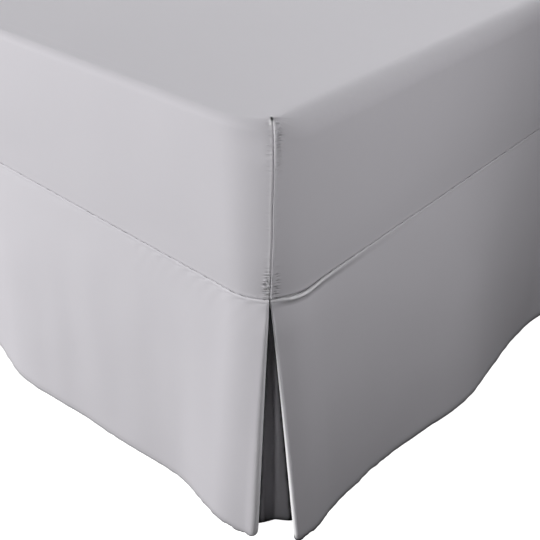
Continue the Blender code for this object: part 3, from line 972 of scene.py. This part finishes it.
# %% Skirt: cloth that hangs from a seam
PANEL_PLUMB = 0.85  # below 1, cloth swings out soon under its seam; above 1, only near its hem
FOLD_LIFT = 28  # a wide fold opens towards the hem, and its cloth rises by its width squared


def hang(seam, hem, share, flare):
    """A point of the cloth between its seam and its hem, which rises where it swings out."""
    swing = hem - seam
    height = SEAM_Z - SEAM_GAP - share * math.sqrt((DROP - SEAM_GAP) ** 2 - swing.length_squared)
    place = seam + swing * flare
    return Vector((place.x, place.y, height))


def turned_with(offset, before, after):
    """Turns a plan offset by the angle from one plan direction to another."""
    if offset.length < 1e-9:
        return offset
    angle = math.atan2(after.y, after.x) - math.atan2(before.y, before.x)
    return Matrix.Rotation(angle, 3, "Z") @ offset


def hanging_sheet(seam, hem, places, relief, shade, creases, beside, plumb):
    """A grid whose columns hang from the seam's points down to the hem's.

    A folded column hangs beside a column of the face, turns with it, and opens downwards."""
    bm = bmesh.new()
    bmesh.ops.create_grid(bm, x_segments=len(seam) - 1, y_segments=len(SHARES) - 1, size=1.0)
    uv = bm.loops.layers.uv.new("cloth")
    # the last two layers hold painted highlight and painted shade
    gather, painted_highlight, gap = [bm.verts.layers.float.new(name) for name in (
        "edge_gather", "painted_highlight", "gap")]
    flat = {}
    lengths = [0.0]
    for here, there in zip(hem, hem[1:]):
        lengths.append(lengths[-1] + (there - here).length)
    for vert in bm.verts:
        column = line_number(vert.co.x, len(seam))
        share, twin = SHARES[line_number(-vert.co.y, len(SHARES))], beside[column]
        flare = share**plumb
        vert.co = hang(seam[twin], hem[twin], share, flare)
        if twin != column:
            near = twin + (1 if twin < len(seam) / 2 else -1)
            at_seam, at_hem = seam[near] - seam[twin], hem[near] - hem[twin]
            here = at_seam.lerp(at_hem, flare)
            fold = turned_with(seam[column] - seam[twin], at_seam, here)
            fold = fold.lerp(turned_with(hem[column] - hem[twin], at_hem, here), share**0.5)
            vert.co += fold + Vector((0, 0, FOLD_LIFT * fold.length_squared * share**3))
        vert.co += relief(places[column], share)
        vert[gather] = 0.1 * math.exp(-share * DROP / 0.004)
        vert[gather] += 0.2 * math.exp((share - 1) * DROP / 0.006)
        # painted highlight on creases and the seam's roll, painted shade in dark lines and along
        # the hem
        light, dark = shade(places[column], share)
        vert[painted_highlight], vert[gap] = min(1.0, creases[column] + light), min(1.0, dark)
        flat[vert] = (lengths[column], -share * DROP)
    for face in bm.faces:
        for loop in face.loops:
            loop[uv].uv = flat[loop.vert]
    return bm


swung = hang(Vector((0, 0, 0)), Vector((0.05, 0, 0)), 1.0, 1.0)
print(f"a hem that swings out by 5 cm hangs at {1000 * swung.z:.1f} mm")


# %% Skirt: hang the panels
def add_panel(number):
    side = SIDES[number]
    along, outward = side_frame(number)[1:]
    seam, hem = (in_plan(number, panel_edge(side, at_hem)) for at_hem in (False, True))
    places, creases, beside = panel_columns(side)
    width = panel_width(side)
    slack = float(number % 2)  # the long sides hang slack
    seed = 20.0 + 7 * number

    def relief(place, share):
        from_end = min(place, width - place)
        turned = 1 - min(1.0, from_end / QUARTER)
        slant = outward + along * turned * (1 if place > width / 2 else -1)
        out = slant.normalized() * skirt_relief(place, from_end, share, slack, seed)
        return out - Vector((0, 0, panel_drop(place, from_end, share, slack, seed)))

    def shade(place, share):
        return panel_shade(min(place, width - place), share, slack)

    sheet = hanging_sheet(seam, hem, places, relief, shade, creases, beside, PANEL_PLUMB)
    return finish_sheet("panel_" + side["name"], sheet, "skirt_" + side["name"])


panels = [add_panel(number) for number in range(len(SIDES))]

# %% [markdown]
# ## The pleat inserts
#
# Behind each corner's open pleat lies one strip, sewn into the seam with the panels. It hangs
# nearly plumb and turns the corner in one smooth curve, with a soft fold down its middle.

# %% Inserts: the fold down the middle
VALLEY_DEPTH = 0.010


def valley_fold(point, middle, across):
    """Lays the strip straight where the pleat opens, with a shallow valley in its middle."""
    inward = Vector((-across.y, across.x, 0))
    sideways = (point - middle).dot(across)
    depth = (point - middle).dot(inward)
    open_part = bump(sideways, 0.030) ** 0.5
    valley = VALLEY_DEPTH * max(0.0, 1 - math.hypot(sideways - 0.0035, 0.003) / 0.026)
    return point + inward * ((valley - depth) * open_part)


print("the valley is", 1000 * VALLEY_DEPTH, "mm deep at the hem")

# %% Inserts: seam and hem
INSERT_REACH = 0.080  # how far the strip runs behind each panel
INSERT_SETBACK = 0.021  # how far its hem lies inside the corner
INSERT_SEAM_CLEAR = 0.0008  # between the strip and a panel's folded end
INSERT_HEM_CLEAR = 0.006
INSERT_TURN = 0.60  # the larger this is, the rounder the strip turns the corner
INSERT_PLUMB = 1.6
INSERT_STEPS = 44
HALF_SHARES = [i / INSERT_STEPS for i in range(INSERT_STEPS + 1)]


def insert_seam(before, after):
    inset = SOLID_CLOTH / 2 + 2 * TOP_FOLD_RADIUS + SOLID_CLOTH + INSERT_SEAM_CLEAR
    width = panel_width(SIDES[before])
    left = [width - INSERT_REACH * (1 - share) for share in HALF_SHARES[:-1]]
    right = [INSERT_REACH * share for share in HALF_SHARES]
    return [point for number, places in ((before, left), (after, right)) for point in
            in_plan(number, [seam_point(SIDES[number], place, inset) for place in places])]


def behind_hem(number, end, along):
    """The strip's hem passes here, just behind the cloth folded back at a panel's end."""
    side = SIDES[number]
    out = hem_out(side, along) - 2 * side["fold_radius"][end] - INSERT_HEM_CLEAR
    return in_plan(number, [(along, out)])[0]


def insert_hem(before, after):
    along_a, outward_a = side_frame(before)[1:]
    corner, along_b, outward_b = side_frame(after)
    reach = INSERT_REACH + CORNER_RADIUS - QUARTER
    turn = INSERT_TURN * reach
    across = (along_a + along_b).normalized()
    start = behind_hem(before, 1, 2 * SIDES[before]["half"] - reach)
    middle = corner - (outward_a + outward_b).normalized() * INSERT_SETBACK
    end = behind_hem(after, 0, reach)
    points = [hermite(start, along_a * turn, middle, across * turn, s) for s in HALF_SHARES[:-1]]
    points += [hermite(middle, across * turn, end, along_b * turn, s) for s in HALF_SHARES]
    return [valley_fold(point, middle, across) for point in points]


print("points along an insert's seam:", len(insert_seam(0, 1)))

# %% Inserts: hang the strips
NEAR_CORNER = 0.075  # both pleat folds lie within this distance


def fold_reach(panel, corner, across):
    """How far a panel's pleat fold reaches across its corner, for each centimetre of height."""
    reach = {}
    for vert in panel.data.vertices:
        if (vert.co.xy - corner.xy).length < NEAR_CORNER:
            level = round(100 * vert.co.z)
            reach[level] = max(reach.get(level, -1.0), (vert.co - corner).dot(across))
    return reach


def add_insert(before, after):
    seam, hem = insert_seam(before, after), insert_hem(before, after)
    outward = (side_frame(before)[2] + side_frame(after)[2]).normalized()
    places = [INSERT_REACH * (i / INSERT_STEPS - 1) for i in range(len(seam))]

    def relief(place, share):
        middle = max(0.0, 1 - math.hypot(place - 0.001, 0.002) / 0.012)
        forward = 0.014 * bump(place, 0.030) - 0.009 * middle
        forward *= eased(share / 0.12) * (1 - share) ** 0.6
        uneven = 0.0012 * share * soft_noise(place, share * 0.2, 40 + before, 0.03)
        drop = (0.0018 + 0.0030 * bump(place, 0.015)) * share
        return outward * (forward + uneven * bump(place, 0.04)) - Vector((0, 0, drop))

    threads = dict(zip(places, zip(seam, hem)))
    across = Vector((-outward.y, outward.x, 0))
    corner = side_frame(after)[0]
    left = fold_reach(panels[before], corner, across)
    right = fold_reach(panels[after], corner, -across)
    print("2 cm above the floor the pleat is open", round(-1000 * (left[2] + right[2])), "mm")

    def shade(place, share):
        """Painted shade on the strip: darkest right behind the two folds, where their shadow falls,
        and along its hem.
        """
        top, bottom = threads[place]
        point = top.lerp(bottom, share**INSERT_PLUMB)
        sideways, level = (point - corner).dot(across), round(100 * (SEAM_Z - share * DROP))
        inside = min(sideways - left.get(level, 0.0), -right.get(level, 0.0) - sideways)
        # painted shade behind each pleat fold, and along the hem below
        behind = bump(max(0.0, inside - 0.0020 * share), 0.0015 + 0.0014 * share)
        return 0.0, min(1.0, behind + 0.9 * bump((1 - share) * DROP, 0.0065))

    sheet = hanging_sheet(seam, hem, places, relief, shade, [0.0] * len(seam), range(len(seam)),
                          INSERT_PLUMB)
    node = f"pleat_{SIDES[before]['name']}_{SIDES[after]['name']}"
    return finish_sheet("insert" + node[5:], sheet, node)


inserts = [add_insert(number, (number + 1) % 4) for number in range(4)]

# %% [markdown]
# ## The bed underneath
#
# The mattress, the base and its glides are plain, because the cloth hides them. The base and the
# glides keep the frame's own shapes and only get a finish here: a darker upholstery weave and
# moulded plastic. The mattress gets a woven ticking and is shaped in the next cell.

# %% Materials of the bed
def woven_material(name, light, dark, threads_per_metre, roughness):
    made, tree, shader = new_material(name, Roughness=roughness, Sheen_Weight=0.15)
    place = add_node(tree, "TexCoord", "Object")
    scale = threads_per_metre * math.tau / 20
    warp, weft = (add_wave(tree, place, scale, direction, 0.6) for direction in ("DIAGONAL", "Z"))
    height = add_math(tree, "MULTIPLY", warp, weft)
    flecks = add_math(tree, "ADD", height, add_noise(tree, place, 90.0, 4.0, 0.6))
    colour = add_mix(tree, add_math(tree, "MULTIPLY", flecks, 0.5), dark, light)
    dress(tree, shader, colour, add_bump(tree, height, 0.0003, 0.5))
    return made


def moulded_plastic():
    made, tree, shader = new_material("moulded_glides", Roughness=0.5)
    grain = add_noise(tree, add_node(tree, "TexCoord", "Object"), 900.0, 3.0)
    colour = add_mix(tree, grain, (0.040, 0.040, 0.044), (0.058, 0.058, 0.062))
    dress(tree, shader, colour, add_bump(tree, grain, 0.0001, 0.4))
    return made


ticking = woven_material("woven_ticking", (0.88, 0.87, 0.84), (0.80, 0.79, 0.76), 700, 0.9)
upholstery = woven_material("dark_upholstery", (0.45, 0.44, 0.45), (0.30, 0.29, 0.30), 450, 0.92)
plastic = moulded_plastic()
bpy.data.objects["bed_base"].material_slots[0].material = upholstery
for node in [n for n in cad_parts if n.startswith("glide")]:
    bpy.data.objects[node].material_slots[0].material = plastic
print("bed materials:", ticking.name, upholstery.name, plastic.name)

# %% [markdown]
# The mattress starts as a cube, scaled to the room inside the cover. Bevels round its corners and
# its edges, planes cut its faces into squares, and the squares are then lifted into the same low
# crown that the cover has.

# %% Mattress
MATTRESS_CLEAR = 0.0050  # between the mattress and the cover's sides
TOP_CLEAR = 0.0035
MATTRESS_EDGE = 0.020
MATTRESS_CUT = 0.08  # the first cut's distance from the edge
MATTRESS_STEP = 0.1


def round_edges(bm, edges, radius, segments):
    bmesh.ops.bevel(bm, geom=edges, offset=radius, segments=segments, affect="EDGES",
                    profile=0.5, material=-1)


def mattress_block():
    half = Vector((HALF_WIDTH - MATTRESS_CLEAR, HALF_LENGTH - MATTRESS_CLEAR))
    bottom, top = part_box("mattress")[0][2], EDGE_Z - TOP_CLEAR
    bm = bmesh.new()
    bmesh.ops.create_cube(bm, size=2.0)
    bmesh.ops.scale(bm, vec=(*half, (top - bottom) / 2), verts=bm.verts)
    bmesh.ops.translate(bm, vec=(0, 0, (top + bottom) / 2), verts=bm.verts)
    upright = [e for e in bm.edges if abs(e.verts[0].co.z - e.verts[1].co.z) > 0.01]
    round_edges(bm, upright, CORNER_RADIUS, 12)
    rims = [e for e in bm.edges if abs(e.verts[0].co.z - e.verts[1].co.z) < 0.001]
    round_edges(bm, rims, MATTRESS_EDGE, 6)
    for axis, reach in enumerate(half):
        for place in close_at_ends([MATTRESS_CUT - reach], reach, MATTRESS_STEP, [0])[:-1]:
            cut, normal = [0, 0, 0], [0, 0, 0]
            cut[axis], normal[axis] = place, 1
            bmesh.ops.bisect_plane(bm, geom=bm.verts[:] + bm.edges[:] + bm.faces[:], plane_co=cut,
                                   plane_no=normal)
    for vert in bm.verts:
        if vert.co.z > (top + bottom) / 2:
            across = 1 - (vert.co.x / HALF_WIDTH) ** 2
            vert.co.z += CROWN * across * (1 - (vert.co.y / HALF_LENGTH) ** 2)
    return bm


mattress = finish_piece("mattress_block", mattress_block(), ticking, "mattress")
